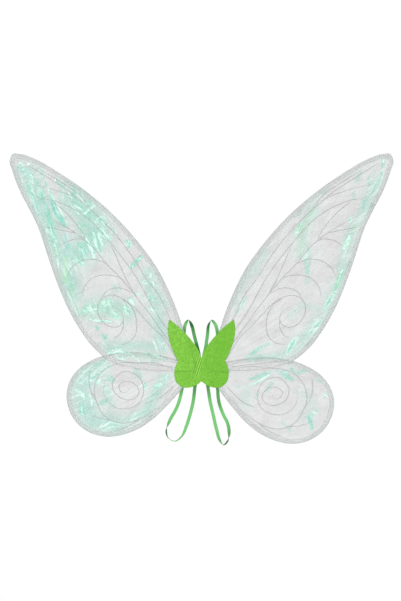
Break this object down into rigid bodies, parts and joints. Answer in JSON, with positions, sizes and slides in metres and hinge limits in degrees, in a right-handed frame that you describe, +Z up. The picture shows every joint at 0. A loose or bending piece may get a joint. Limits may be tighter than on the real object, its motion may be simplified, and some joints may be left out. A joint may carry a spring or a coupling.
{
  "type": "costume fairy wings",
  "caption": "Costume fairy wings: clear film wings on bent wire frames, folding on a felt butterfly hub with elastic arm loops.",
  "frame": {"origin": "middle of the outer face of the strap patch, where the hub rests against the wearer's back", "axes": "+X to the right seen from behind the wearer, +Y towards the wearer, +Z up"},
  "size_m": [0.903, 0.0121, 0.6904],
  "materials": {
    "wing_film": "thin clear iridescent film, glossy, lightly crinkled, with raised glitter veins",
    "film_hem": "film folded and sealed in layers, puckered, milky",
    "frame_wire": "steel wire with a thin white coating",
    "green_felt": "pressed polyester felt, lime green",
    "strap_elastic": "flat braided elastic with a satin face, emerald green",
    "hub_board": "plain white card"
  },
  "bodies": {
    "spine": {"centre_web": "green_felt", "strap_patch": "green_felt", "left_strap_tail": "strap_elastic", "right_strap_tail": "strap_elastic"},
    "left_wing": {"upper_left_wire": "frame_wire", "upper_left_film_front": "wing_film", "upper_left_film_back": "wing_film", "upper_left_hem": "film_hem", "lower_left_wire": "frame_wire", "lower_left_film_front": "wing_film", "lower_left_film_back": "wing_film", "lower_left_hem": "film_hem", "front_felt_left": "green_felt", "back_felt_left": "green_felt", "hub_board_left": "hub_board"},
    "left_strap": {"left_strap_loop": "strap_elastic"},
    "right_wing": {"upper_right_wire": "frame_wire", "upper_right_film_front": "wing_film", "upper_right_film_back": "wing_film", "upper_right_hem": "film_hem", "lower_right_wire": "frame_wire", "lower_right_film_front": "wing_film", "lower_right_film_back": "wing_film", "lower_right_hem": "film_hem", "front_felt_right": "green_felt", "back_felt_right": "green_felt", "hub_board_right": "hub_board"},
    "right_strap": {"right_strap_loop": "strap_elastic"}
  },
  "joints": [
    {"name": "left_wing_fold", "type": "hinge", "parent": "spine", "child": "left_wing", "pos_m": [-0.009, -0.0034, 0], "axis": [0, 0, 1], "range_deg": [0, 85]},
    {"name": "right_wing_fold", "type": "hinge", "parent": "spine", "child": "right_wing", "pos_m": [0.009, -0.0034, 0], "axis": [0, 0, -1], "range_deg": [0, 85]},
    {"name": "left_strap_swing", "type": "hinge", "parent": "spine", "child": "left_strap", "pos_m": [-0.0105, -0.002, 0], "axis": [0, 0, -1], "range_deg": [0, 95]},
    {"name": "right_strap_swing", "type": "hinge", "parent": "spine", "child": "right_strap", "pos_m": [0.0105, -0.002, 0], "axis": [0, 0, 1], "range_deg": [0, 95]}
  ]
}
